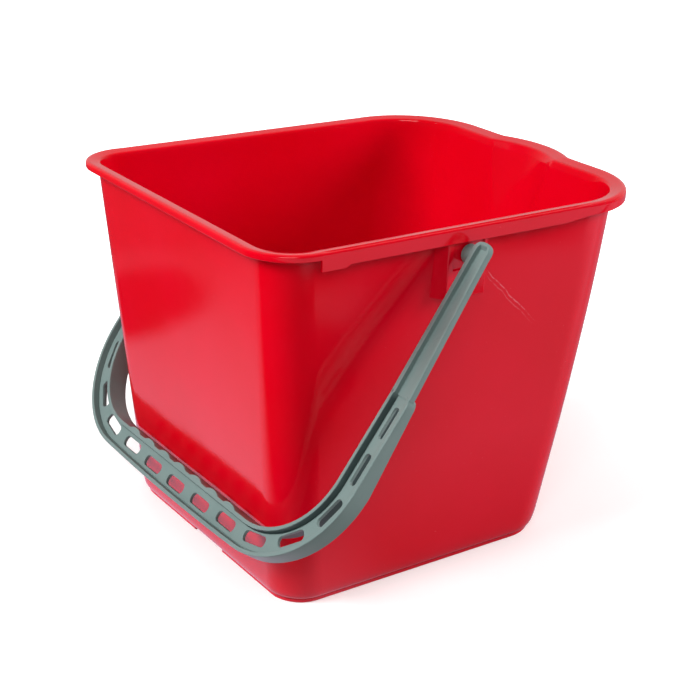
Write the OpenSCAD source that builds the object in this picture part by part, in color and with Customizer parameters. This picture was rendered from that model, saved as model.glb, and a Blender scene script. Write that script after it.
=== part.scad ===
// Rectangular wash bucket with a pouring lip and a swinging bail handle.
// The origin is on the floor under the middle of the foot ring, +Z is up,
// +X points to the pouring lip and the bail hangs down on the -X side.

/* [Bucket base] */
// Length of the foot ring, along X
base_l = 235; // [200:1:260]
// Width of the foot ring, along Y
base_w = 226; // [200:1:240]
// Corner radius of the foot ring at the plain end
base_r = 25; // [18:1:40]
// Corner radius of the foot ring at the pouring end
base_r_front = 33; // [25:1:40]
// Height of the foot ring below the floor
foot_h = 4; // [3:0.5:8]
// Width of the gap in the foot ring that takes the fingers when pouring
pour_gap = 40; // [25:1:60]

/* [Bucket opening] */
// Height of the rim above the ground
rim_z = 266; // [240:1:290]
// Distance from the origin to the inside of the plain end
open_back = 143.5; // [135:0.5:150]
// Distance from the origin to the inside of the pouring end
open_front = 162; // [150:0.5:170]
// Width of the opening
open_w = 259; // [250:1:262]
// Corner radius of the opening at the plain end
open_r_back = 25; // [20:1:45]
// Corner radius of the opening at the pouring end
open_r_front = 52.5; // [40:0.5:70]
// Thickness of the walls
wall = 2.4; // [1.8:0.1:3]
// Thickness of the floor
floor_t = 3; // [2:0.1:4]

/* [Rim] */
// Width of the rim along the sides and the plain end, outwards from the opening
rim_w = 11; // [9:0.5:12]
// Width of the rim along the pouring end
rim_w_front = 15.2; // [11:0.1:17]
// Thickness of the rim's top
rim_t = 2.6; // [2:0.1:3.5]
// Depth of the lip that turns down round the plain end
lip_h = 3.8; // [3.5:0.1:6]
// Depth of the lip round the pouring end
lip_h_front = 6.5; // [4:0.5:9]
// Depth of the skirt along each long side
skirt_h = 9.5; // [7:0.5:11]
// Depth of the short tab where each skirt begins
tab_h = 11.5; // [9:0.5:13]

/* [Pouring lip] */
// Width of the pouring lip across the rim
spout_w = 77; // [60:1:90]
// How far the pouring lip stands out of the end
spout_out = 9.5; // [6:0.5:12]
// Height of the pouring lip's channel in the wall
spout_h = 90; // [60:5:120]

/* [Pivots] */
// Place of the pivots along X
pivot_x = 0.5; // [-10:0.5:10]
// Height of the pivots
pivot_z = 247.5; // [240:0.5:250]
// Radius of the pivot pins
pin_r = 4; // [3:0.1:4.5]
// Radial clearance of the pins in their sockets
pin_gap = 0.06; // [0.03:0.01:0.1]
// Radius of the collar between the bail and its socket
collar_r = 6.8; // [5.5:0.1:7]

/* [Bail] */
// Angle between the resting bail and the vertical
hang = 36.4; // [36.2:0.1:38]
// Half the distance between the insides of the two arms
arm_in = 149; // [147:0.5:151]
// Width of the band across an arm
arm_w = 21; // [20:0.5:24]
// Distance from the pivots to the inside of the grip
grip_in = 228; // [226:0.5:231]
// Width of the band across the middle of the grip
grip_w = 22.5; // [21.5:0.5:26]
// Inside corner radius of the bail
bail_r = 58; // [50:0.5:62]
// Length of each slot
slot_l = 23; // [16:0.5:26]
// Width of each slot along the grip
slot_w = 7.8; // [6:0.2:9]
// Distance between the middles of neighbouring slots
slot_pitch = 34.8; // [34:0.1:35.4]

/* [Hidden] */
$fn = 64;
eps = 0.1;

// bucket
foot_t = 3;
foot_inset = 1.2;
floor_fillet = 4;
floor_round = [[5, 0], [2, 1.6], [0.4, 5]];
rim_back = open_back + rim_w;
rim_front = open_front + rim_w_front;
rim_half = open_w / 2 + rim_w;
lip_t = 2.2;
rim_bite = 0.4;
skirt_back = -117;
skirt_front = 80;
skirt_ramp = 28;
front_lip_x = 60;
tab_l = 18;
tab_slope = 3;
spout_r = (pow(spout_w / 2, 2) + pow(spout_out, 2)) / (2 * spout_out);
spout_root = 20;
spout_lean = spout_out + 1 + spout_h * (open_front - base_l / 2) / rim_z;

// pivot lugs
lug_w = 33;
lug_root = 44;
lug_y = 138.2;
lug_root_y = 127;
lug_z0 = 220;
seat_r = 8.6;
seat_d = 1.8;
socket_d = 5.2;

// bail, in its own plane: x across the bucket, y away from the pivots, z to the front
slots = 15;
forward = 2.2;
front = 4.9;
web_t = 2.8;
rib_t = 3;
flange_back = 12.6;
outer_back = 7.5;
strap_t = 4.9;
strap_web = 1.6;
strap_in = 145.2;
strap_w = 15.5;
strap_end = 10;
strap_nose = 4;
strap_rib = 2.6;
step_y = 102;
arm_out = arm_in + arm_w;
grip_out = grip_in + grip_w;
corner_x = arm_in - bail_r;
corner_y = grip_in - bail_r;
track_r = bail_r + 9;
track_y = grip_in + 13;
ridges = 6;
ridge_pitch = slot_pitch * 2 / 3;
ridge_r = 14;
ridge_h = 2.2;
barrel_l = 5;
pin_end = 131.6;
collar_end = 137.4;

// A rectangle from -back to front along X whose corners are round, one radius per end
module plan(back, front, half_w, r_back, r_front) {
    translate([-back, -(half_w - r_back)])
        square([back, 2 * (half_w - r_back)]);
    translate([0, -(half_w - r_front)])
        square([front, 2 * (half_w - r_front)]);
    translate([-back + r_back, -half_w])
        square([back - r_back + front - r_front, 2 * half_w]);
    for (side = [-1, 1]) {
        translate([-back + r_back, side * (half_w - r_back)])
            circle(r = r_back);
        translate([front - r_front, side * (half_w - r_front)])
            circle(r = r_front);
    }
}

// Outline of the wall at a share t of its height, moved outwards by grow
module wall_plan(t, grow) {
    base = base_l / 2;
    plan(base + t * (open_back - base) + grow,
         base + t * (open_front - base) + grow,
         base_w / 2 + t * (open_w - base_w) / 2 + grow,
         base_r + t * (open_r_back - base_r) + grow,
         base_r_front + t * (open_r_front - base_r_front) + grow);
}

module wall_slice(z, grow) {
    translate([0, 0, z])
        linear_extrude(eps)
            wall_plan(z / rim_z, grow, $fn = 32);
}

// Round-nosed pouring lip, its edge moved outwards from the opening by grow
module spout_plan(grow) {
    intersection() {
        translate([rim_front + spout_out - spout_r, 0])
            circle(r = spout_r - rim_w_front + grow);
        translate([open_front - spout_root, -spout_w / 2])
            square([3 * spout_root, spout_w]);
    }
}

// Channel below the pouring lip, sinking into the sloping wall as it goes down
module spout_body(grow, top) {
    hull() {
        translate([0, 0, top - eps])
            linear_extrude(eps)
                spout_plan(grow, $fn = 128);
        translate([-spout_lean, 0, rim_z - spout_h])
            linear_extrude(eps)
                spout_plan(grow, $fn = 128);
    }
}

// Block on one long side with the blind socket for a pivot pin
module lug() {
    difference() {
        translate([pivot_x, 0, lug_z0])
            linear_extrude(rim_z - rim_t - lug_z0)
                polygon([[-lug_root / 2, lug_root_y], [-lug_w / 2, lug_y], [lug_w / 2, lug_y],
                         [lug_root / 2, lug_root_y]]);
        translate([pivot_x, lug_y - seat_d, pivot_z])
            rotate([-90, 0, 0])
                cylinder(r = seat_r, h = 2 * seat_d);
        translate([pivot_x - seat_r, lug_y - seat_d, pivot_z])
            cube([2 * seat_r, 2 * seat_d, rim_z]);
        translate([pivot_x, lug_y - seat_d - socket_d, pivot_z])
            rotate([-90, 0, 0])
                cylinder(r = pin_r + pin_gap, h = socket_d + seat_d);
    }
}

module shell() {
    difference() {
        union() {
            hull() {
                for (step = floor_round)
                    wall_slice(foot_h + step[1], wall - step[0]);
                wall_slice(rim_z - rim_t, 0);
            }
            hull() {
                wall_slice(foot_h + floor_round[2][1], wall - floor_round[2][0]);
                wall_slice(rim_z - eps, wall);
            }
            spout_body(wall, rim_z);
            for (side = [0, 1])
                mirror([0, side, 0])
                    lug();
        }
        hull() {
            wall_slice(foot_h + floor_t, -floor_fillet);
            wall_slice(foot_h + floor_t + floor_fillet, 0);
            wall_slice(rim_z + eps, 0);
        }
        spout_body(0, rim_z + eps);
    }
}

module foot_ring() {
    difference() {
        linear_extrude(foot_h + 1)
            wall_plan(0, -foot_inset);
        translate([0, 0, -eps])
            linear_extrude(foot_h + 2)
                wall_plan(0, -foot_inset - foot_t);
        translate([-base_l / 2 - 1, -pour_gap / 2, -eps])
            cube([2 * foot_t + 4, pour_gap, foot_h + eps]);
    }
}

module rim_plan(inset) {
    plan(rim_back - inset, rim_front - inset, rim_half - inset,
         open_r_back + rim_w - inset, open_r_front + rim_w_front - inset);
    spout_plan(rim_w_front - inset);
}

// The rim with its lip turned down by depth
module rim_ring(depth) {
    difference() {
        translate([0, 0, rim_z - depth])
            linear_extrude(depth)
                rim_plan(0);
        translate([0, 0, rim_z - depth - eps])
            linear_extrude(depth - rim_t + eps)
                rim_plan(lip_t);
        translate([0, 0, rim_z - depth - eps])
            linear_extrude(2 * depth) {
                wall_plan(1, rim_bite);
                spout_plan(rim_bite);
            }
    }
}

module rim() {
    rim_ring(lip_h);
    intersection() {
        rim_ring(lip_h_front);
        translate([front_lip_x, -rim_half, rim_z - lip_h_front])
            cube([rim_front, 2 * rim_half, lip_h_front]);
    }
}

// Deeper skirt under one long side of the rim, with the tab where it begins
module skirt() {
    translate([0, rim_half, rim_z - 1])
        rotate([90, 0, 0])
            linear_extrude(lip_t)
                polygon([[skirt_back, 0], [skirt_back, 1 - tab_h], [skirt_back + tab_l, 1 - tab_h],
                         [skirt_back + tab_l + tab_slope, 1 - skirt_h], [skirt_front, 1 - skirt_h],
                         [skirt_front + skirt_ramp, 0]]);
}

module bucket_body() {
    color("crimson") {
        shell();
        foot_ring();
        rim();
        for (side = [0, 1])
            mirror([0, side, 0])
                skirt();
    }
}

// Radius of the shallow arc that meets a corner of radius r and reaches end in the middle
function bow(r, end) =
    (pow(corner_x, 2) + pow(end - corner_y, 2) - pow(r, 2)) / (2 * (end - corner_y - r));

// Filled outline of the bail's loop, with corners of radius r and a bowed end
module loop_plan(r, end) {
    translate([-corner_x - r, 0])
        square([2 * (corner_x + r), corner_y]);
    for (side = [-1, 1])
        translate([side * corner_x, corner_y])
            circle(r = r);
    intersection() {
        translate([-corner_x, corner_y - 1])
            square([2 * corner_x, end]);
        translate([0, end - bow(r, end)])
            circle(r = bow(r, end), $fn = 720);
    }
}

// Band of the loop below the step, its edges trimmed inwards
module loop_band(trim_in, trim_out) {
    intersection() {
        difference() {
            loop_plan(bail_r + arm_w - trim_out, grip_out - trim_out);
            loop_plan(bail_r + trim_in, grip_in + trim_in + 0.01);
        }
        translate([-arm_out, step_y])
            square([2 * arm_out, grip_out]);
    }
}

// One strap from its pivot to the step where the deep loop begins
module strap_plan(trim) {
    polygon([[strap_in + trim, strap_nose + trim / 2 - strap_end],
             [strap_in + strap_nose, trim - strap_end],
             [strap_in + strap_w - strap_nose, trim - strap_end],
             [strap_in + strap_w - trim, strap_nose + trim / 2 - strap_end],
             [arm_out - 1 - trim, step_y + 1],
             [arm_in + trim, step_y + 1]]);
}

// A slot with round corners, centred on the origin, its length along x
module slot(w) {
    r = w * 0.38;
    square([slot_l - 2 * r, w], center = true);
    square([slot_l, w - 2 * r], center = true);
    for (i = [-1, 1], j = [-1, 1])
        translate([i * (slot_l / 2 - r), j * (w / 2 - r)])
            circle(r = r, $fn = 32);
}

// Slots follow the band: along the bowed grip, round the corners and up the arms
module slot_row() {
    bend = track_r * PI / 2;
    dip = bow(track_r, track_y);
    for (k = [-(slots - 1) / 2 : (slots - 1) / 2]) {
        side = k < 0 ? -1 : 1;
        s = abs(k) * slot_pitch;
        along = min(s, corner_x);
        angle = min(max(s - corner_x, 0) / bend, 1) * 90;
        rise = max(s - corner_x - bend, 0);
        y = s < corner_x ? track_y - dip + sqrt(pow(dip, 2) - pow(along, 2))
                         : corner_y + track_r * cos(angle) - rise;
        translate([side * (along + track_r * sin(angle)), y])
            rotate(-side * angle)
                slot(slot_w - max(abs(k) - 4, 0) * 1.2);
    }
}

// Low ridges between the fingers, on the front edge of the grip's inner flange
module finger_ridges() {
    for (k = [0 : ridges])
        translate([(k - ridges / 2) * ridge_pitch, grip_in - ridge_h])
            intersection() {
                translate([0, ridge_r])
                    circle(r = ridge_r);
                translate([-ridge_r / 2, 0])
                    square([ridge_r, ridge_h + 1]);
            }
}

// The loop is a slotted web between two flanges, the inner one deeper
module loop() {
    translate([0, 0, -web_t])
        linear_extrude(web_t)
            difference() {
                loop_band(0, 0);
                slot_row();
            }
    translate([0, 0, -flange_back])
        linear_extrude(flange_back + front)
            difference() {
                loop_band(0, 0);
                loop_band(rib_t, 0);
            }
    translate([0, 0, -outer_back])
        linear_extrude(outer_back + front)
            difference() {
                loop_band(0, 0);
                loop_band(0, rib_t);
            }
    linear_extrude(front)
        finger_ridges();
}

module strap() {
    difference() {
        translate([0, 0, front - strap_t])
            linear_extrude(strap_t)
                strap_plan(0);
        translate([0, 0, front - strap_t + strap_web])
            linear_extrude(strap_t)
                strap_plan(strap_rib);
    }
}

// Barrel, collar and pin at the end of one strap, along its pivot axis
module pivot() {
    rotate([0, 90, 0]) {
        translate([0, 0, strap_in])
            cylinder(r = front, h = barrel_l);
        translate([0, 0, collar_end])
            cylinder(r = collar_r, h = strap_in + 2 - collar_end);
        translate([0, 0, pin_end])
            cylinder(r = pin_r, h = collar_end + 1 - pin_end);
    }
}

module bail_handle() {
    color("slategray")
        translate([pivot_x, 0, pivot_z])
            rotate([0, hang - 90, 0])
                rotate([0, 0, 90]) {
                    translate([0, 0, forward])
                        loop();
                    for (side = [0, 1])
                        mirror([side, 0, 0]) {
                            translate([0, 0, forward])
                                strap();
                            pivot();
                        }
                }
}

bucket_body();
bail_handle();
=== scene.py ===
import bpy
import bmesh
import math
from mathutils import Matrix, Vector, noise


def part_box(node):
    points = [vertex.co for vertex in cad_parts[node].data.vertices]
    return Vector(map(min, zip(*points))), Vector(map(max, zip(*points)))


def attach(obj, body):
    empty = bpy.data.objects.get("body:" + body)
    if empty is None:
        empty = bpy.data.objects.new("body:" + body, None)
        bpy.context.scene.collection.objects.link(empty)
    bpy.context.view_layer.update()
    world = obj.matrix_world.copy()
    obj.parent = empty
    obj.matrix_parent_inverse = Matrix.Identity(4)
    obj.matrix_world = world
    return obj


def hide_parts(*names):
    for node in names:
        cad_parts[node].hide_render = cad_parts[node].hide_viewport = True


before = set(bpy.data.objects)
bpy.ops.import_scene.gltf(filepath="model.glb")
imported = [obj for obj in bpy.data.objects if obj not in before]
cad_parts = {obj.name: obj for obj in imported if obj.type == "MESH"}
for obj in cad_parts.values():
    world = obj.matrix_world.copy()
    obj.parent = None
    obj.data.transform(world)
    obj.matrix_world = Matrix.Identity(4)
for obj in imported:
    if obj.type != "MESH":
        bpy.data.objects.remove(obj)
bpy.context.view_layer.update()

MM = 0.001
scene = bpy.context.scene
body_lo, body_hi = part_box("bucket_body")
RIM_Z = body_hi.z / MM

# Bucket, in millimetres: g is a distance outwards from the inner face of the wall
FOOT_Z = 2.6
FLOOR_Z = 7.0
WALL = 2.4
RIM_W = 11.0
RIM_W_FRONT = 15.2
RIM_RISE = 2.1
# Plan at the foot and at the rim: the two ends, half the width and the corner radii at the back and front
BASE = dict(back=117.5, front=117.5, half=113.0, rb=25.0, rf=34.5)
MOUTH = dict(back=143.5, front=162.0, half=129.5, rb=25.0, rf=52.5)
# Finger gap in the foot ring, and the flat stretch of the plain end that it lies in
GAP_HALF = 20
END_FLAT = 88
# Pouring lip: how far it bulges, its radius, the height of its channel and how deep that starts in the wall
SPOUT_OUT = 9.5
SPOUT_R = 82.7
SPOUT_H = 90.0
SPOUT_SINK = 1.0
SPOUT_HALF_MIN = 14.0
# Turned-down lip of the rim: its thickness, and its depth on each stretch of a long side
LIP_T = 2.2
LIP_END, LIP_TAB, LIP_SKIRT, LIP_FRONT = 3.8, 11.5, 9.5, 7.2
SKIRT_BACK = -117.0
SKIRT_TAB = 18.0
TAB_EASE = 3.0
SKIRT_FRONT = 80.0
SKIRT_RAMP = 28.0
# Rim's top along X: where its step fades in and out, and where its broader roll grows towards the pouring end
STEP_IN, STEP_FRONT, STEP_OUT = 6, 112, 16
ROLL_BACK, ROLL_RAMP = 95, 40
# Slow waves of the moulded walls, and the heights between which they show
WAVE, WAVE_SCALE = 0.22, 0.018
WAVE_LO, WAVE_HI, WAVE_FADE = 20, 250, 40

# Pivot lugs, in millimetres: X is from the pivot and Y from the middle of the bucket
LUG_PLAN = [(-24.5, 126), (-17.6, 137.5), (-17.0, 138.1), (14.8, 138.1), (15.4, 137.5), (22, 126)]
LUG_Z, LUG_TOP_GAP = 217.5, 2.4
POCKET_PLAN = [(-12.5, 136.4), (-13.3, 145), (13.3, 145), (12.5, 136.4)]
POCKET_Z = 237.5
SOCKET_R, SOCKET_Y0, SOCKET_Y1 = 4.3, 130.6, 142
LUG_EDGE = 0.55

# Bail, in millimetres in its own plane: u across the bucket, v away from the pivots, n to the back
PIVOT = Vector((0.5, 0.0, 247.5))
HANG = math.radians(36.4)
FORWARD = 2.2
ARM_IN = 149.0
ARM_W = 21.0
GRIP_IN = 228.0
GRIP_W = 22.5
BEND = 58.0
CX, CV = ARM_IN - BEND, GRIP_IN - BEND
STEP_V = 102.0
STEP_CUT = 3.6
FRONT = 4.9
RIB = 3.0
WEB = 2.8
DEEP = 12.6
OUTER_DEEP = 9.0
OUTER_START = 2.4
# Slots: how many on each side of the middle one, from middle to middle, their size and their corners' share
# of the width, how much narrower each one up the arm is, and how far from the inner edge their middles run
SLOTS_EACH_SIDE = 7
PITCH = 34.8
SLOT_L, SLOT_W, SLOT_ROUND = 23.0, 7.8, 0.42
SLOT_NARROWER = 1.15
TRACK_BEND, TRACK_GRIP = 9, 13
# Finger ridges: height and half the length
RIDGE_H, RIDGE_HALF = 2.2, 7.6
# Straps: thickness, ribs, depth of the groove between them, and the edges at the pivot and at the step
STRAP_T = 4.9
STRAP_RIB, STRAP_OUTER_RIB = 3.9, 2.3
STRAP_GROOVE = 3.5
STRAP_IN, STRAP_W, STRAP_OUT = 145.2, 15.5, 169.0
STRAP_END, STRAP_NOSE = -9.9, 7.0
# Turned pieces on the pivot axis: (distance from the middle of the bucket, radius)
PIN = [(131.6, 3.2), (131.9, 3.7), (132.4, 3.95), (137.3, 3.95), (137.4, 6.2), (137.6, 6.6), (138.0, 6.8),
       (146.6, 6.8), (147.3, 6.4)]
BARREL = [(145.4, 2.8), (145.8, 3.1), (146.4, 3.3), (149.4, 3.3), (150.0, 3.1), (150.4, 2.7)]


def lerp(a, b, t):
    return a + (b - a) * t


def smooth(t):
    t = min(max(t, 0.0), 1.0)
    return t * t * (3 - 2 * t)


def soft_positive(a, k):
    """a where it is above zero and nothing below, with a rounded knee of size k."""
    return 0.5 * (a + math.sqrt(a * a + k * k))


# ---------------------------------------------------------------- meshes


def new_object(name, verts, faces, material, scale=MM):
    """A mesh object in the scene, from points in millimetres or in another unit of the given scale."""
    mesh = bpy.data.meshes.new(name)
    mesh.from_pydata([Vector(v) * scale for v in verts], [], faces)
    mesh.validate()
    obj = bpy.data.objects.new(name, mesh)
    scene.collection.objects.link(obj)
    mesh.materials.append(material)
    return obj


def turn_outwards(obj):
    bm = bmesh.new()
    bm.from_mesh(obj.data)
    bmesh.ops.recalc_face_normals(bm, faces=bm.faces)
    bm.to_mesh(obj.data)
    bm.free()


def finish_mesh(obj, angle):
    """Outward normals, smooth shading that keeps edges above the angle sharp, and flat faces shaded flat."""
    bm = bmesh.new()
    bm.from_mesh(obj.data)
    bmesh.ops.remove_doubles(bm, verts=bm.verts, dist=1e-7)
    bmesh.ops.recalc_face_normals(bm, faces=bm.faces)
    for f in bm.faces:
        f.smooth = True
    for e in bm.edges:
        if len(e.link_faces) == 2 and e.calc_face_angle(0) > math.radians(angle):
            e.smooth = False
    bm.to_mesh(obj.data)
    bm.free()
    mod = obj.modifiers.new("weighted", "WEIGHTED_NORMAL")
    mod.keep_sharp = True
    mod.weight = 60


def tube_faces(rows, n, start=0):
    """Quads between neighbouring rows of n points each, closed round."""
    faces = []
    for i in range(rows - 1):
        a, b = start + i * n, start + (i + 1) * n
        for j in range(n):
            k = (j + 1) % n
            faces.append((a + j, a + k, b + k, b + j))
    return faces


def solid_faces(rows, n, start=0):
    """The faces that close the first and the last row, and the tube between them, all wound alike."""
    last = start + (rows - 1) * n
    caps = [tuple(range(start, start + n)), tuple(range(last + n - 1, last - 1, -1))]
    return caps + [(a, d, c, b) for a, b, c, d in tube_faces(rows, n, start)]


def block(name, lower, upper):
    """A closed solid of red plastic between two outlines."""
    obj = new_object(name, lower + upper, solid_faces(2, len(lower)), RED)
    turn_outwards(obj)
    return obj


def upright_block(name, plan, z0, z1):
    return block(name, [(x, y, z0) for x, y in plan], [(x, y, z1) for x, y in plan])


def cylinder_y(name, x, z, r, y0, y1, sides=48):
    turns = [2 * math.pi * i / sides for i in range(sides)]
    ring = [(x + r * math.cos(a), z + r * math.sin(a)) for a in turns]
    return block(name, [(a, y0, b) for a, b in ring], [(a, y1, b) for a, b in ring])


def loft(name, sections):
    """A closed solid of grey plastic through a row of outlines."""
    n = len(sections[0])
    last = (len(sections) - 1) * n
    faces = tube_faces(len(sections), n)
    faces.append(tuple(range(n)))
    faces.append(tuple(reversed(range(last, last + n))))
    obj = new_object(name, [p for s in sections for p in s], faces, GREY)
    turn_outwards(obj)
    return obj


def apply_modifiers(obj):
    bpy.context.view_layer.update()
    dg = bpy.context.evaluated_depsgraph_get()
    mesh = bpy.data.meshes.new_from_object(obj.evaluated_get(dg))
    old = obj.data
    obj.modifiers.clear()
    obj.data = mesh
    bpy.data.meshes.remove(old)


def cut(obj, tools):
    for t in tools:
        mod = obj.modifiers.new("cut", "BOOLEAN")
        mod.operation = "DIFFERENCE"
        mod.solver = "EXACT"
        mod.object = t
    apply_modifiers(obj)
    for t in tools:
        mesh = t.data
        bpy.data.objects.remove(t)
        bpy.data.meshes.remove(mesh)


# ---------------------------------------------------------------- material nodes, in metres


def nodes_of(name):
    """A new material, its node tree and its Principled shader."""
    m = bpy.data.materials.new(name)
    m.use_nodes = True
    nt = m.node_tree
    nt.nodes.clear()
    out = nt.nodes.new("ShaderNodeOutputMaterial")
    b = nt.nodes.new("ShaderNodeBsdfPrincipled")
    nt.links.new(b.outputs[0], out.inputs[0])
    return m, nt, b


def place_node(nt):
    """Place on the object."""
    return nt.nodes.new("ShaderNodeTexCoord").outputs["Object"]


def split_node(nt, at):
    n = nt.nodes.new("ShaderNodeSeparateXYZ")
    nt.links.new(at, n.inputs[0])
    return n.outputs


def noise_node(nt, coords, scale, detail=2.0, rough=0.5):
    n = nt.nodes.new("ShaderNodeTexNoise")
    n.inputs["Scale"].default_value = scale
    n.inputs["Detail"].default_value = detail
    n.inputs["Roughness"].default_value = rough
    nt.links.new(coords, n.inputs["Vector"])
    return n.outputs["Fac"]


def ramp(nt, value, lo, hi, out_lo, out_hi, kind="LINEAR"):
    """value between lo and hi, taken to between out_lo and out_hi."""
    n = nt.nodes.new("ShaderNodeMapRange")
    n.interpolation_type = kind
    for name, v in (("From Min", lo), ("From Max", hi), ("To Min", out_lo), ("To Max", out_hi)):
        n.inputs[name].default_value = v
    nt.links.new(value, n.inputs["Value"])
    return n.outputs[0]


def smooth_ramp(nt, value, lo, hi, out_lo, out_hi):
    return ramp(nt, value, lo, hi, out_lo, out_hi, "SMOOTHSTEP")


def bump(nt, height, strength, distance, normal=None):
    n = nt.nodes.new("ShaderNodeBump")
    n.inputs["Strength"].default_value = strength
    n.inputs["Distance"].default_value = distance
    nt.links.new(height, n.inputs["Height"])
    if normal is not None:
        nt.links.new(normal, n.inputs["Normal"])
    return n.outputs[0]


def math_node(nt, op, a, b=None):
    n = nt.nodes.new("ShaderNodeMath")
    n.operation = op
    for i, v in enumerate((a, b)):
        if v is None:
            continue
        if isinstance(v, (int, float)):
            n.inputs[i].default_value = v
        else:
            nt.links.new(v, n.inputs[i])
    return n.outputs[0]


def product(nt, first, *others):
    for other in others:
        first = math_node(nt, "MULTIPLY", first, other)
    return first


def dot_node(nt, x, y, a, b):
    return math_node(nt, "ADD", product(nt, x, a), product(nt, y, b))


def length_node(nt, x, y):
    """Length of the plane vector (x, y)."""
    return math_node(nt, "SQRT", math_node(nt, "ADD", product(nt, x, x), product(nt, y, y)))


def mix_colour(nt, fac, a, b):
    n = nt.nodes.new("ShaderNodeMix")
    n.data_type = "RGBA"
    nt.links.new(fac, n.inputs["Factor"])
    for socket, v in ((n.inputs["A"], a), (n.inputs["B"], b)):
        if isinstance(v, tuple):
            socket.default_value = (*v, 1.0)
        else:
            nt.links.new(v, socket)
    return n.outputs["Result"]


# ---------------------------------------------------------------- materials


def scratches(nt, at):
    """Two fine scratches that run down the near side from the pivot, fading along their length."""
    x, y, z = split_node(nt, at)
    wander = product(nt, math_node(nt, "SUBTRACT", noise_node(nt, at, 60.0, 2.0), 0.5), 0.004)
    line = math_node(nt, "ADD", dot_node(nt, x, z, 0.68, 0.73), wander)
    marks = []
    for offset, strength in ((0.1837, 0.50), (0.1811, 0.22)):
        off = math_node(nt, "ABSOLUTE", math_node(nt, "SUBTRACT", line, offset))
        marks.append(smooth_ramp(nt, off, 0.0006, 0.0001, 0.0, strength))
    # only on the outer face: the wall leans out by 0.062 of its height
    outer_face = smooth_ramp(nt, dot_node(nt, y, z, 1.0, 0.062), -0.1140, -0.1146, 0.0, 1.0)
    start = smooth_ramp(nt, x, 0.022, 0.030, 0.0, 1.0)
    end = smooth_ramp(nt, x, 0.054, 0.078, 1.0, 0.0)
    broken = ramp(nt, noise_node(nt, at, 240.0, 2.0), 0.38, 0.55, 0.2, 1.0)
    return product(nt, math_node(nt, "MAXIMUM", *marks), outer_face, start, end, broken)


def red_plastic():
    """Glossy red polypropylene: slow moulding waves, fine orange peel, faint dull patches, a few specks."""
    m, nt, b = nodes_of("gloss_red_plastic")
    at = place_node(nt)
    cloud = ramp(nt, noise_node(nt, at, 9.0, 3.0), 0.35, 0.7, 0.0, 1.0)
    colour = mix_colour(nt, cloud, (0.60, 0.0001, 0.007), (0.64, 0.0002, 0.012))
    speck = ramp(nt, noise_node(nt, at, 900.0, 1.0), 0.79, 0.84, 0.0, 0.35)
    colour = mix_colour(nt, speck, colour, (0.75, 0.25, 0.25))
    colour = mix_colour(nt, scratches(nt, at), colour, (0.72, 0.20, 0.24))
    nt.links.new(colour, b.inputs["Base Color"])
    scuff = noise_node(nt, at, 28.0, 6.0, 0.65)
    nt.links.new(ramp(nt, scuff, 0.3, 0.75, 0.07, 0.16), b.inputs["Roughness"])
    waves = bump(nt, noise_node(nt, at, 13.0, 1.0), 0.35, 0.0016)
    peel = bump(nt, noise_node(nt, at, 420.0, 2.0), 0.05, 0.0003, waves)
    nt.links.new(peel, b.inputs["Normal"])
    b.inputs["IOR"].default_value = 1.40
    b.inputs["Subsurface Weight"].default_value = 0.08
    b.inputs["Subsurface Radius"].default_value = (0.004, 0.0006, 0.0006)
    b.inputs["Subsurface Scale"].default_value = 0.5
    return m


def painted_groove_shade(nt, at):
    """Painted shade in the groove that runs along the slotted band inside its inner rib, darkening it as
    shade would.
    """
    x, y, z = split_node(nt, at)
    s, c = math.sin(HANG), math.cos(HANG)
    px, pz = PIVOT.x * MM, PIVOT.z * MM
    v = math_node(nt, "ADD", dot_node(nt, x, z, -s, -c), px * s + pz * c)
    n = math_node(nt, "ADD", dot_node(nt, x, z, c, -s), pz * s - px * c)
    over_u = math_node(nt, "SUBTRACT", math_node(nt, "ABSOLUTE", y), CX * MM)
    over_v = math_node(nt, "SUBTRACT", v, CV * MM)
    over = length_node(nt, math_node(nt, "MAXIMUM", over_u, 0.0), math_node(nt, "MAXIMUM", over_v, 0.0))
    from_edge = math_node(nt, "SUBTRACT", over, BEND * MM)
    past_rib = smooth_ramp(nt, from_edge, 0.0025, 0.0029, 0.0, 1.0)
    in_groove = smooth_ramp(nt, from_edge, 0.0036, 0.0043, 1.0, 0.0)
    behind_front = smooth_ramp(nt, n, -0.0069, -0.0060, 0.0, 0.75)
    below_step = smooth_ramp(nt, v, STEP_V * MM, (STEP_V + 6) * MM, 0.0, 1.0)
    return product(nt, past_rib, in_groove, behind_front, below_step)


def grey_plastic():
    """Satin grey-green polypropylene with a fine spark-eroded grain and faint flow marks, and painted shade
    in the groove inside the band's inner rib.
    """
    m, nt, b = nodes_of("satin_grey_plastic")
    at = place_node(nt)
    cloud = ramp(nt, noise_node(nt, at, 22.0, 4.0), 0.3, 0.7, 0.0, 1.0)
    colour = mix_colour(nt, cloud, (0.142, 0.200, 0.192), (0.168, 0.224, 0.215))
    # painted shade: the groove inside the band's inner rib is darkened as though in shade
    colour = mix_colour(nt, painted_groove_shade(nt, at), colour, (0.012, 0.028, 0.030))
    nt.links.new(colour, b.inputs["Base Color"])
    nt.links.new(ramp(nt, noise_node(nt, at, 60.0, 5.0, 0.6), 0.3, 0.7, 0.34, 0.46), b.inputs["Roughness"])
    flow = bump(nt, noise_node(nt, at, 55.0, 2.0), 0.12, 0.0004)
    grain = bump(nt, noise_node(nt, at, 1500.0, 3.0, 0.6), 0.12, 0.00015, flow)
    nt.links.new(grain, b.inputs["Normal"])
    b.inputs["IOR"].default_value = 1.47
    return m


RED = red_plastic()
GREY = grey_plastic()

# ---------------------------------------------------------------- bucket body


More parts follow.
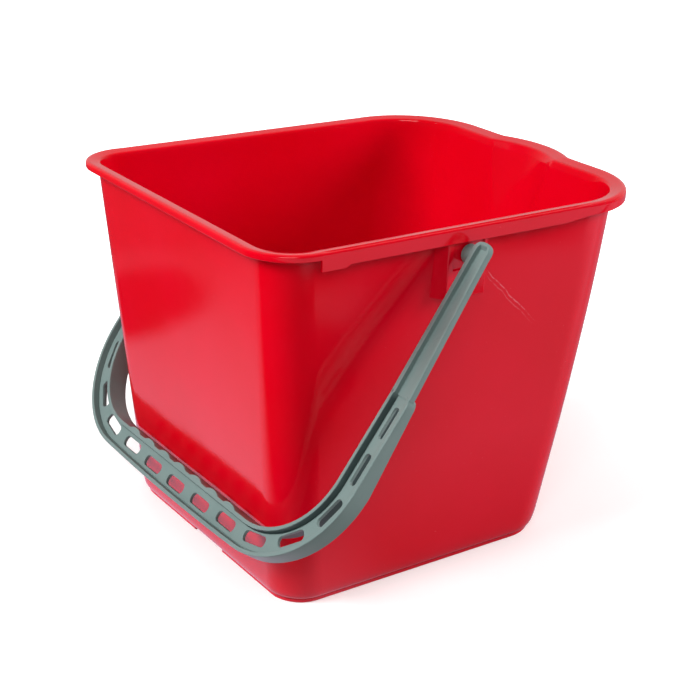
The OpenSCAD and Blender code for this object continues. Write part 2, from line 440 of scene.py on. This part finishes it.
def body_columns():
    """Places round the plan, counterclockwise from the middle of the pouring end: (part, side, share)."""
    spout = [0.0, 0.18, 0.36, 0.52, 0.66, 0.78, 0.87, 0.93, 0.97, 1.0]
    front = [0.03, 0.08, 0.16, 0.28, 0.42, 0.58, 0.75, 0.9]
    front_corner = [i / 18 for i in range(19)]
    back_corner = [i / 12 for i in range(13)]
    # along a long side: close together at the skirt's tab, then evenly to past the skirt's front end
    tab = [-0.25, 0, 2, 10, SKIRT_TAB, SKIRT_TAB + TAB_EASE / 2, SKIRT_TAB + TAB_EASE]
    keys = [SKIRT_BACK + a for a in tab]
    keys += [SKIRT_FRONT - 8 * i for i in range(22)]
    keys += [SKIRT_FRONT + 7 * i for i in range(1, 4)]
    start = MOUTH["back"] - MOUTH["rb"]
    span = start + MOUTH["front"] - MOUTH["rf"]
    longs = sorted({round((k + start) / span, 5) for k in keys})
    ends = [0.0, 0.1, 0.2, GAP_HALF / END_FLAT - 0.003, GAP_HALF / END_FLAT, 0.32, 0.45, 0.6, 0.75, 0.88]
    half = [("spout", c) for c in spout] + [("front", c) for c in front]
    half += [("front_corner", c) for c in front_corner]
    half += [("long", c) for c in reversed(longs)]
    half += [("back_corner", c) for c in reversed(back_corner)]
    half += [("end", c) for c in reversed(ends)]
    return [(part, 1, c) for part, c in half] + [(part, -1, c) for part, c in half[-2:0:-1]]


COLUMNS = body_columns()


def outline(z, g, g_front):
    """Points of the plan at height z moved out by g, or g_front at the pouring end, one for each column."""
    t = max(z, 0.0) / RIM_Z
    p = {k: lerp(BASE[k], MOUTH[k], t) for k in BASE}
    p["rf"] = lerp(BASE["rf"], MOUTH["rf"], t ** 3)
    back, front, half = p["back"] + g, p["front"] + g_front, p["half"] + g
    rb, rf = max(p["rb"] + g, 0.5), max(p["rf"] + g_front, 0.5)
    bulge = SPOUT_OUT - (SPOUT_OUT + SPOUT_SINK) * (RIM_Z - z) / SPOUT_H
    r = SPOUT_R - RIM_W_FRONT + g_front
    reach = math.sqrt(max(r * r - (r - max(bulge, 0.0)) ** 2, 0.0))
    spout_half = max(reach, SPOUT_HALF_MIN)
    points = []
    for part, side, c in COLUMNS:
        a = c * math.pi / 2
        if part == "spout":
            x, y = front, side * c * spout_half
        elif part == "front":
            x, y = front, side * lerp(spout_half, half - rf, c)
        elif part == "front_corner":
            x, y = front - rf + rf * math.cos(a), side * (half - rf + rf * math.sin(a))
        elif part == "long":
            x, y = lerp(-(back - rb), front - rf, c), side * half
        elif part == "back_corner":
            x, y = -(back - rb) - rb * math.cos(a), side * (half - rb + rb * math.sin(a))
        else:
            x, y = -back, side * (half - rb) * c
        if part in ("spout", "front") and bulge > -SPOUT_SINK:
            arc = math.sqrt(max(r * r - y * y, 0.0)) - (r - bulge)
            x += soft_positive(arc, 0.9) * smooth((bulge + SPOUT_SINK) / (2 * SPOUT_SINK))
        points.append((x, y))
    return points


def ring(z, g):
    """A ring of the shell: z is its height, or one height for each column."""
    zs = z if isinstance(z, list) else [z] * len(COLUMNS)
    return [(x, y, h) for (x, y), h in zip(outline(max(zs), g, g), zs)]


def rim_ring(share, drops, rise=RIM_RISE):
    """A ring of the rim, which rises outwards, at a share of its width and a drop for each column."""
    top = RIM_Z + rise * smooth((share - 0.12) / 0.8)
    flat = outline(RIM_Z, RIM_W * share, RIM_W_FRONT * share)
    return [(x, y, top - drop) for (x, y), drop in zip(flat, drops)]


def foot_rings():
    """The underside from its middle outwards, the foot ring, and the rounding above it."""
    in_gap = [part == "end" and c < GAP_HALF / END_FLAT for part, side, c in COLUMNS]

    def foot(z):
        return [FOOT_Z - 0.05 if gap else z for gap in in_gap]

    rings = [ring(FOOT_Z, g) for g in (-90, -60, -30, -14, -5.2)]
    profile = [(FOOT_Z - 0.6, -4.3), (0.6, -4.2), (0.15, -4.0), (0.0, -3.6), (0.0, -1.8), (0.15, -1.4),
               (0.6, -1.2)]
    rings += [ring(foot(z), g) for z, g in profile]
    rings += [ring(FOOT_Z - 0.03, -1.2), ring(FOOT_Z + 0.1, -1.7)]
    rounding = [(0.6, -0.9), (1.3, 0.1), (2.5, 0.9), (4.3, 1.6), (7.2, 2.05), (11.0, 2.3), (16, WALL)]
    return rings + [ring(FOOT_Z + up, g) for up, g in rounding]


def lip_depth(x):
    """Depth of the turned-down lip below the rim's top, by place along the rim."""
    along = x - SKIRT_BACK
    if along < 0:
        return LIP_END
    if along < SKIRT_TAB:
        return LIP_TAB
    if along < SKIRT_TAB + TAB_EASE:
        return lerp(LIP_TAB, LIP_SKIRT, (along - SKIRT_TAB) / TAB_EASE)
    return lerp(LIP_SKIRT, LIP_FRONT, smooth((x - SKIRT_FRONT) / SKIRT_RAMP))


def rim_rings():
    """From the wall out under the rim, round the turned-down lip, and back in over the top."""
    places = [x for x, y in outline(RIM_Z, RIM_W, RIM_W_FRONT)]
    depth = [lip_depth(x) for x in places]
    # share of the step in the rim's top: only along the skirts
    stepped = [smooth((x - SKIRT_BACK) / STEP_IN) * smooth((STEP_FRONT - x) / STEP_OUT)
               * (part in ("long", "front_corner")) for (part, side, c), x in zip(COLUMNS, places)]
    # share of the broader roll of the rim round the pouring end
    rolled = [smooth((x - ROLL_BACK) / ROLL_RAMP) for x in places]
    inner = 1 - LIP_T / RIM_W
    under = [((WALL + 0.4) / RIM_W, 3.2), ((WALL + 1.6) / RIM_W, 2.65), (inner - 0.12, 2.6),
             (inner - 0.03, 2.75), (inner, 3.1)]
    rings = [rim_ring(share, [drop] * len(COLUMNS)) for share, drop in under]
    # the lip's lower edge: how far each ring is above it
    lower = [(inner + 0.01, 0.35), (inner + 0.045, 0.06), (inner + 0.08, 0.0), (0.955, 0.0), (0.985, 0.1),
             (1.0, 0.5)]
    rings += [rim_ring(share, [d - up for d in depth], 0) for share, up in lower]
    # over the top: drop where the rim is plain, where it is stepped and where it is rolled
    top = [(1.0, 2.9, 2.9, 4.2), (0.985, 2.15, 2.15, 3.0), (0.945, 1.6, 1.6, 2.1), (0.88, 1.25, 1.55, 1.35),
           (0.79, 0.9, 1.55, 0.85), (0.765, 0.85, 1.45, 0.75), (0.735, 0.8, 0.75, 0.65),
           (0.66, 0.62, 0.62, 0.45)]
    rounding = [(0.46, 0.2), (0.3, 0.04), (0.2, 0.0), (0.12, 0.14), (0.055, 0.6), (0.015, 1.4), (0.0, 2.6)]
    top += [(share, drop, drop, drop) for share, drop in rounding]
    for share, plain, step, roll in top:
        rings.append(rim_ring(share, [lerp(lerp(plain, step, s), roll, r) for s, r in zip(stepped, rolled)]))
    return rings


def wavy(x, y, z):
    """The point moved a little outwards or inwards, where it lies on a wall."""
    if not WAVE_LO < z < WAVE_HI:
        return x, y, z
    fade = smooth((z - WAVE_LO) / WAVE_FADE) * smooth((WAVE_HI - z) / WAVE_FADE)
    out = Vector((x, y, 0)).normalized()
    d = WAVE * fade * noise.noise(Vector((x, y, z)) * WAVE_SCALE)
    return x + out.x * d, y + out.y * d, z


def bucket_shell():
    """The shell as rings from the middle of the underside, up outside, over the rim and down to the floor."""
    heights = [26, 38, 52, 68, 84, 100, 116, 132, 148, 162, 174, 182, 188, 194, 200, 207, 214, 221, 228, 235,
               241, 247, 252, 256]
    rings = foot_rings()
    rings += [ring(z, WALL) for z in heights + [259.5, 261.8]]
    rings += rim_rings()
    rings += [ring(z, 0.0) for z in [261.5, 259] + heights[::-1] + [18]]
    fillet = [(12.5, 0.0), (10.6, -0.25), (9.0, -0.9), (7.9, -2.0), (7.25, -3.6), (FLOOR_Z, -5.6)]
    rings += [ring(z, g) for z, g in fillet]
    rings += [ring(FLOOR_Z, g) for g in (-14, -30, -60, -90)]
    n = len(COLUMNS)
    verts = [p for r in rings for p in r] + [(0, 0, FOOT_Z), (0, 0, FLOOR_Z)]
    faces = tube_faces(len(rings), n)
    last = (len(rings) - 1) * n
    for j in range(n):
        k = (j + 1) % n
        faces.append((len(verts) - 2, k, j))
        faces.append((len(verts) - 1, last + j, last + k))
    shell = new_object("bucket_shell", [wavy(*p) for p in verts], faces, RED)
    finish_mesh(shell, 55)
    return shell


def pivot_lug(name, side):
    """Block under the rim with sloping cheeks and a pocket that takes the bail's collar and pin."""
    lug = upright_block(name, [(PIVOT.x + x, y) for x, y in LUG_PLAN], LUG_Z, RIM_Z - LUG_TOP_GAP)
    pocket = upright_block("pocket", [(PIVOT.x + x, y) for x, y in POCKET_PLAN], POCKET_Z, RIM_Z + 5)
    hole = cylinder_y("hole", PIVOT.x, PIVOT.z, SOCKET_R, SOCKET_Y0, SOCKET_Y1)
    cut(lug, [pocket, hole])
    bm = bmesh.new()
    bm.from_mesh(lug.data)
    for v in bm.verts:
        # the back follows the wall
        if v.co.y < (LUG_PLAN[0][1] + 1) * MM:
            t = v.co.z / MM / RIM_Z
            v.co.y = (lerp(BASE["half"], MOUTH["half"], t) + WALL / 2) * MM
        v.co.y *= side
    bmesh.ops.dissolve_limit(bm, angle_limit=math.radians(0.5), verts=bm.verts, edges=bm.edges)
    bmesh.ops.recalc_face_normals(bm, faces=bm.faces)
    bm.to_mesh(lug.data)
    bm.free()
    soft = lug.modifiers.new("edge", "BEVEL")
    soft.width = LUG_EDGE * MM
    soft.segments = 3
    soft.limit_method = "ANGLE"
    soft.angle_limit = math.radians(25)
    apply_modifiers(lug)
    finish_mesh(lug, 40)
    return lug


shell = bucket_shell()
lugs = [pivot_lug("pivot_lug_near", -1), pivot_lug("pivot_lug_far", 1)]
for piece in [shell, *lugs]:
    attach(piece, "bucket")
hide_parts("bucket_body")

# ---------------------------------------------------------------- bail


def to_world(u, v, n):
    """A place in the bail's plane as a point of the row frame, in millimetres."""
    s, c = math.sin(HANG), math.cos(HANG)
    return (PIVOT.x - v * s + n * c, u, PIVOT.z - v * c - n * s)


def bow_radius(r, end):
    """Radius of the shallow bow that meets the bend's arc of radius r smoothly and peaks at v = end."""
    return (CX ** 2 + (end - CV) ** 2 - r ** 2) / (2 * (end - CV - r))


def band_stations():
    """Pairs of inner and outer edge points from one step round to the other, for u below zero then above."""
    r_out = BEND + ARM_W
    bow = bow_radius(r_out, GRIP_IN + GRIP_W)
    bow_v = GRIP_IN + GRIP_W - bow
    tilt = math.atan2(CX, CV - bow_v)
    shoulder = [0.0, 0.25, 0.6, 1.1, 1.8, 2.8, 4.0, 5.5, 7.5, 10, 13, 17]
    arm = [STEP_V + a for a in shoulder] + [lerp(STEP_V + 20, CV, i / 14) for i in range(15)]
    half = []
    for v in arm:
        back = max(0.0, 1 - (v - STEP_V) / 6.0)
        half.append(((ARM_IN, v), (ARM_IN + ARM_W - STEP_CUT * (1 - math.sqrt(1 - back * back)), v)))
    bend_steps = 30
    for i in range(1, bend_steps + 1):
        a, b = math.pi / 2 * i / bend_steps, (math.pi / 2 - tilt) * i / bend_steps
        half.append(((CX + BEND * math.cos(a), CV + BEND * math.sin(a)),
                     (CX + r_out * math.cos(b), CV + r_out * math.sin(b))))
    u_end = r_out * math.sin(tilt) + CX
    grip_steps = 66
    for i in range(1, grip_steps + 1):
        t = i / grip_steps
        ui, uo = CX * (1 - t), u_end * (1 - t)
        half.append(((ui, GRIP_IN), (uo, bow_v + math.sqrt(bow * bow - uo * uo))))
    mirrored = [((-a[0], a[1]), (-b[0], b[1])) for a, b in half]
    return mirrored + half[-2::-1]


def ridge_height(u):
    """Low ridges between the fingers along the middle of the grip."""
    pitch = PITCH * 2 / 3
    if abs(u) > 3.5 * pitch:
        return 0.0
    d = (u / pitch + 0.5) % 1.0 - 0.5
    return RIDGE_H * max(0.0, 1 - (abs(d) * pitch / RIDGE_HALF) ** 2) ** 0.8


def band_section(w, v, ridge):
    """Closed outline across the band, w wide, at v: (distance from the inner edge, depth to the back)."""
    down = min(max((v - STEP_V) / (CV - STEP_V), 0.0), 1.0)
    outer = OUTER_START + (OUTER_DEEP - OUTER_START) * down
    web = min(WEB, outer)
    deep = lerp(OUTER_START + 0.2, DEEP, smooth((v - STEP_V) / 13.0))
    top = -FRONT
    rib, out = RIB, w - RIB
    return [
        # up the inner edge with its finger ridge
        (0.0, deep - 0.8), (0.0, 3.4), (-ridge * 0.55, 1.6), (-ridge, -0.6), (-ridge, top + 1.1),
        (-ridge + 0.3, top + 0.35), (-ridge + 1.0, top),
        # down the inner rib and into its groove
        (rib - 0.7, top), (rib - 0.2, top + 0.2), (rib, top + 0.7), (rib + 0.05, 0.35), (rib + 0.25, 0.6),
        (rib + 0.6, 0.45), (rib + 0.95, 0.0),
        # the same on the outer side
        (out - 0.95, 0.0), (out - 0.6, 0.45), (out - 0.25, 0.6), (out - 0.05, 0.35), (out, top + 0.7),
        (out + 0.2, top + 0.2), (out + 0.7, top),
        # the outer edge and its flange
        (w - 1.0, top), (w - 0.3, top + 0.35), (w, top + 1.1), (w, outer - 0.7), (w - 0.2, outer - 0.2),
        (w - 0.7, outer), (out + 0.7, outer), (out + 0.2, outer - 0.1), (out, max(outer - 0.5, web)),
        # the back of the web, and the inner flange
        (out - 0.1, web), (out - 0.6, web), (rib + 0.6, web), (rib + 0.1, web + 0.05), (rib, web + 0.3),
        (rib, deep - 0.8), (rib - 0.25, deep - 0.2), (rib - 0.8, deep), (0.8, deep), (0.25, deep - 0.2),
    ]


def slot_outline(length, width, grow, steps=6):
    """Rounded rectangle round the origin, grown all round."""
    r = width * SLOT_ROUND + grow
    hx, hy = length / 2 + grow, width / 2 + grow
    points = []
    for cx, cy, a0 in ((1, 1, 0), (-1, 1, 90), (-1, -1, 180), (1, -1, 270)):
        for i in range(steps + 1):
            a = math.radians(a0 + 90 * i / steps)
            points.append((cx * (hx - r) + r * math.cos(a), cy * (hy - r) + r * math.sin(a)))
    return points


def slot_place(k):
    """Middle and turn of slot k, counted from the middle of the grip along a track inside the band."""
    track_r, track_v = BEND + TRACK_BEND, GRIP_IN + TRACK_GRIP
    bend = track_r * math.pi / 2
    dip = bow_radius(track_r, track_v)
    side = -1 if k < 0 else 1
    s = abs(k) * PITCH
    along = min(s, CX)
    angle = min(max(s - CX, 0) / bend, 1) * math.pi / 2
    rise = max(s - CX - bend, 0)
    if s < CX:
        v = track_v - dip + math.sqrt(dip * dip - along * along)
    else:
        v = CV + track_r * math.cos(angle) - rise
    return side * (along + track_r * math.sin(angle)), v, -side * angle


def slot_cutters():
    """One mesh with a prism for each slot, flared a little at both faces of the web."""
    flare = [(-1.5, 1.0), (-0.03, 0.42), (0.13, 0.16), (0.47, 0.0), (WEB - 0.43, 0.0), (WEB + 0.03, 0.33),
             (WEB + 3.0, 0.9)]
    verts, faces = [], []
    for k in range(-SLOTS_EACH_SIDE, SLOTS_EACH_SIDE + 1):
        u, v, turn = slot_place(k)
        width = SLOT_W - max(abs(k) - 4, 0) * SLOT_NARROWER
        start = len(verts)
        for d, grow in flare:
            for a, b in slot_outline(SLOT_L, width, grow):
                verts.append(to_world(u + a * math.cos(turn) - b * math.sin(turn),
                                      v + a * math.sin(turn) + b * math.cos(turn), d - FORWARD))
        faces += solid_faces(len(flare), (len(verts) - start) // len(flare), start)
    return new_object("slot_cutters", verts, faces, GREY)


def slotted_band():
    sections = []
    for (iu, iv), (ou, ov) in band_stations():
        width = math.hypot(ou - iu, ov - iv)
        du, dv = (ou - iu) / width, (ov - iv) / width
        on_grip = abs(iu) < CX and iv > GRIP_IN - 0.01
        section = band_section(width, iv, ridge_height(iu) if on_grip else 0.0)
        sections.append([to_world(iu + du * w, iv + dv * w, n - FORWARD) for w, n in section])
    band = loft("bail_grip", sections)
    cut(band, [slot_cutters()])
    finish_mesh(band, 38)
    return band


def strap_section(u0, u1, groove, f):
    """Closed outline across a strap: (u, depth). f below one makes it thinner, to round off its end."""
    mid = -FRONT + STRAP_T / 2
    top, back = mid + (-FRONT - mid) * f, mid + (-FRONT + STRAP_T - mid) * f
    floor = top + groove
    r = 0.8 * f
    rib, outer_rib = STRAP_RIB, STRAP_OUTER_RIB
    if u1 - u0 < rib + outer_rib + 3:
        rib = outer_rib = max((u1 - u0) / 2 - 1.5, 0.2)
    return [
        # the inner rib
        (u0, back - r), (u0, top + r), (u0 + 0.3 * r, top + 0.3 * r), (u0 + r, top),
        (u0 + rib - 0.5 * r, top), (u0 + rib - 0.12 * r, top + 0.12 * r),
        (u0 + rib, top + min(0.5 * r, groove)),
        # the groove
        (u0 + rib + 0.1, max(floor - 0.3, top)), (u0 + rib + 0.6, floor), (u1 - outer_rib - 0.6, floor),
        (u1 - outer_rib - 0.1, max(floor - 0.3, top)),
        # the outer rib
        (u1 - outer_rib, top + min(0.5 * r, groove)), (u1 - outer_rib + 0.12 * r, top + 0.12 * r),
        (u1 - outer_rib + 0.5 * r, top), (u1 - r, top), (u1 - 0.3 * r, top + 0.3 * r), (u1, top + r),
        # the back
        (u1, back - r), (u1 - 0.3 * r, back - 0.3 * r), (u1 - r, back), (u0 + r, back),
        (u0 + 0.3 * r, back - 0.3 * r),
    ]


def strap(name, side):
    """A flat arm from the pivot to the step of the band, with a rounded end and a groove along its front."""
    places = [0.0, 0.15, 0.5, 1.0, 1.7, 2.6, 3.6, 4.8, 6.0, 7.0, 8.0, 9.2, 10.5, 12, 14]
    places += [14 + (STEP_V + 1.5 - STRAP_END - 14) * i / 24 for i in range(1, 25)]
    sections = []
    for d in places:
        v = STRAP_END + d
        t = v / STEP_V
        u0 = lerp(STRAP_IN, ARM_IN, max(t, -0.1))
        u1 = lerp(STRAP_IN + STRAP_W, STRAP_OUT, max(t, 0.0) ** 1.05)
        short = max(0.0, 1 - d / STRAP_NOSE)
        pull = (1 - math.sqrt(1 - short * short)) * 6.6
        groove = STRAP_GROOVE * smooth((d - 2.2) / 2.6)
        section = strap_section(u0 + pull, u1 - pull, groove, lerp(0.55, 1.0, smooth(d / 1.6)))
        sections.append([to_world(side * u, v, n - FORWARD) for u, n in section])
    obj = loft(name, sections)
    finish_mesh(obj, 38)
    return obj


def turned(name, side, profile, sides=56):
    """A turned piece about the pivot axis from (distance from the middle, radius) pairs."""
    turns = [2 * math.pi * i / sides for i in range(sides)]
    rows = []
    for y, r in profile:
        rows.append([(PIVOT.x + r * math.cos(a), side * y, PIVOT.z + r * math.sin(a)) for a in turns])
    obj = loft(name, rows)
    finish_mesh(obj, 40)
    return obj


band = slotted_band()
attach(band, "bail")
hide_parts("bail_handle")
for label, side in (("near", -1), ("far", 1)):
    arm = [strap("bail_strap_" + label, side), turned("bail_pin_" + label, side, PIN),
           turned("bail_barrel_" + label, side, BARREL)]
    for piece in arm:
        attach(piece, "bail")

# ---------------------------------------------------------------- stage, light and camera


def stage_plane(name, material, size, depth):
    """A square sheet lying a little below the foot of the bucket."""
    corners = [(-size, -size, 0), (size, -size, 0), (size, size, 0), (-size, size, 0)]
    sheet = new_object(name, corners, [(0, 1, 2, 3)], material, 1.0)
    sheet.location.z = body_lo.z - depth
    return sheet


def stage_floor():
    """The white table as the camera sees it, and under it a darker one that lights the walls from below."""
    m, nt, b = nodes_of("pale_floor")
    at = place_node(nt)
    grain = ramp(nt, noise_node(nt, at, 3.0, 4.0), 0.3, 0.7, 0.0, 1.0)
    nt.links.new(mix_colour(nt, grain, (0.93, 0.93, 0.93), (0.95, 0.95, 0.95)), b.inputs["Base Color"])
    b.inputs["Roughness"].default_value = 0.9
    b.inputs["Specular IOR Level"].default_value = 0.1
    b.inputs["Emission Color"].default_value = (1.0, 1.0, 1.0, 1.0)
    x, y, z = split_node(nt, at)
    nt.links.new(smooth_ramp(nt, length_node(nt, x, y), 0.18, 0.8, 0.12, 1.0), b.inputs["Emission Strength"])
    floor = stage_plane("floor", m, 9.0, 0.0002)
    floor.visible_glossy = False
    floor.visible_diffuse = False
    floor.visible_shadow = False
    m, nt, b = nodes_of("floor_bounce")
    b.inputs["Base Color"].default_value = (0.45, 0.45, 0.45, 1.0)
    b.inputs["Roughness"].default_value = 1.0
    bounce = stage_plane("floor_bounce", m, 9.0, 0.0004)
    bounce.visible_glossy = False
    bounce.visible_camera = False


def reflected_floor():
    """Painted reflection, seen only by the glossy walls: a pool of light on the table round the bucket that
    dies away from it.
    """
    m = bpy.data.materials.new("reflected_pool")
    m.use_nodes = True
    nt = m.node_tree
    nt.nodes.clear()
    out = nt.nodes.new("ShaderNodeOutputMaterial")
    glow = nt.nodes.new("ShaderNodeEmission")
    glow.inputs["Color"].default_value = (1.0, 0.78, 1.0, 1.0)
    nt.links.new(glow.outputs[0], out.inputs[0])
    x, y, z = split_node(nt, place_node(nt))
    # the pool on the plain end's side, and the even light on the near side with its shade by the foot
    pool = ramp(nt, length_node(nt, x, y), 0.20, 0.64, 1.12, 0.13)
    even = ramp(nt, y, -0.14, -0.24, 0.35, 0.64)
    on_end = smooth_ramp(nt, x, 0.0, -0.12, 0.0, 1.0)
    on_side = math_node(nt, "SUBTRACT", 1.0, on_end)
    level = math_node(nt, "ADD", product(nt, pool, on_end), product(nt, even, on_side))
    # the table's edge, and the bright floor past it
    edge = smooth_ramp(nt, y, -0.555, -0.525, 0.0, 1.0)
    past = smooth_ramp(nt, y, -0.58, -0.64, 0.0, 0.95)
    # the unlit part of the room by the near corner, with a gleam at its far end
    across, along = dot_node(nt, x, y, -0.64, -0.77), dot_node(nt, x, y, 0.77, -0.64)
    lit = smooth_ramp(nt, across, 0.235, 0.14, 0.0, 1.0)
    gleam = smooth_ramp(nt, across, 0.235, 0.265, 0.0, 0.8)
    far_end = smooth_ramp(nt, along, 0.38, 0.45, 0.0, 1.0)
    lit = math_node(nt, "MAXIMUM", lit, product(nt, gleam, far_end))
    # painted reflection: a dark round spot on the mirrored table off the far corner of the plain end
    away = length_node(nt, math_node(nt, "ADD", x, 0.27), math_node(nt, "ADD", y, -0.41))
    spot = smooth_ramp(nt, away, 0.055, 0.10, 0.08, 1.0)
    level = product(nt, level, edge, lit, spot)
    nt.links.new(math_node(nt, "MAXIMUM", level, past), glow.inputs["Strength"])
    card = stage_plane("reflected_table", m, 2.0, 0.0008)
    card.visible_camera = False
    card.visible_diffuse = False
    card.visible_shadow = False


def area_light(name, place, size, power, mirrored=True):
    """A white rectangle of light that faces the middle of the bucket; the plastic mirrors it or doesn't."""
    data = bpy.data.lights.new(name, "AREA")
    data.shape = "RECTANGLE"
    data.size, data.size_y = size
    data.energy = power
    obj = bpy.data.objects.new(name, data)
    scene.collection.objects.link(obj)
    obj.location = place
    obj.rotation_mode = "QUATERNION"
    obj.rotation_quaternion = (Vector((0.0, 0.0, 0.12)) - Vector(place)).to_track_quat("-Z", "Y")
    obj.visible_glossy = mirrored


def studio_world():
    """Light from all round, brighter from the side across the bucket from the camera."""
    world = bpy.data.worlds.new("studio")
    scene.world = world
    world.use_nodes = True
    nt = world.node_tree
    background = nt.nodes["Background"]
    background.inputs["Color"].default_value = (1.0, 1.0, 1.0, 1.0)
    towards = nt.nodes.new("ShaderNodeVectorMath")
    towards.operation = "DOT_PRODUCT"
    towards.inputs[1].default_value = (0.56, 0.76, 0.33)
    nt.links.new(nt.nodes.new("ShaderNodeTexCoord").outputs["Generated"], towards.inputs[0])
    strength = smooth_ramp(nt, towards.outputs["Value"], 0.1, 0.9, 0.06, 0.60)
    nt.links.new(strength, background.inputs["Strength"])


def photo_camera():
    data = bpy.data.cameras.new("camera")
    data.sensor_width = 36.0
    data.lens = 78.13
    camera = bpy.data.objects.new("camera", data)
    scene.collection.objects.link(camera)
    right, up, back = (0.8227, -0.5672, 0.0364), (0.1864, 0.3298, 0.9255), (-0.5370, -0.7546, 0.3771)
    camera.rotation_mode = "QUATERNION"
    camera.rotation_quaternion = Matrix((right, up, back)).transposed().to_quaternion()
    camera.location = (-0.61097, -0.86684, 0.56196)
    scene.camera = camera


stage_floor()
reflected_floor()
area_light("soft_key", (-1.85, 0.30, 1.42), (1.0, 0.9), 57, mirrored=False)
area_light("soft_right", (1.9, -1.0, 1.0), (1.2, 1.0), 54, mirrored=False)
area_light("soft_front", (-1.1, -1.5, 1.4), (1.2, 1.0), 19)
studio_world()
scene.view_settings.view_transform = "Standard"
scene.view_settings.look = "None"
photo_camera()

bpy.context.view_layer.update()
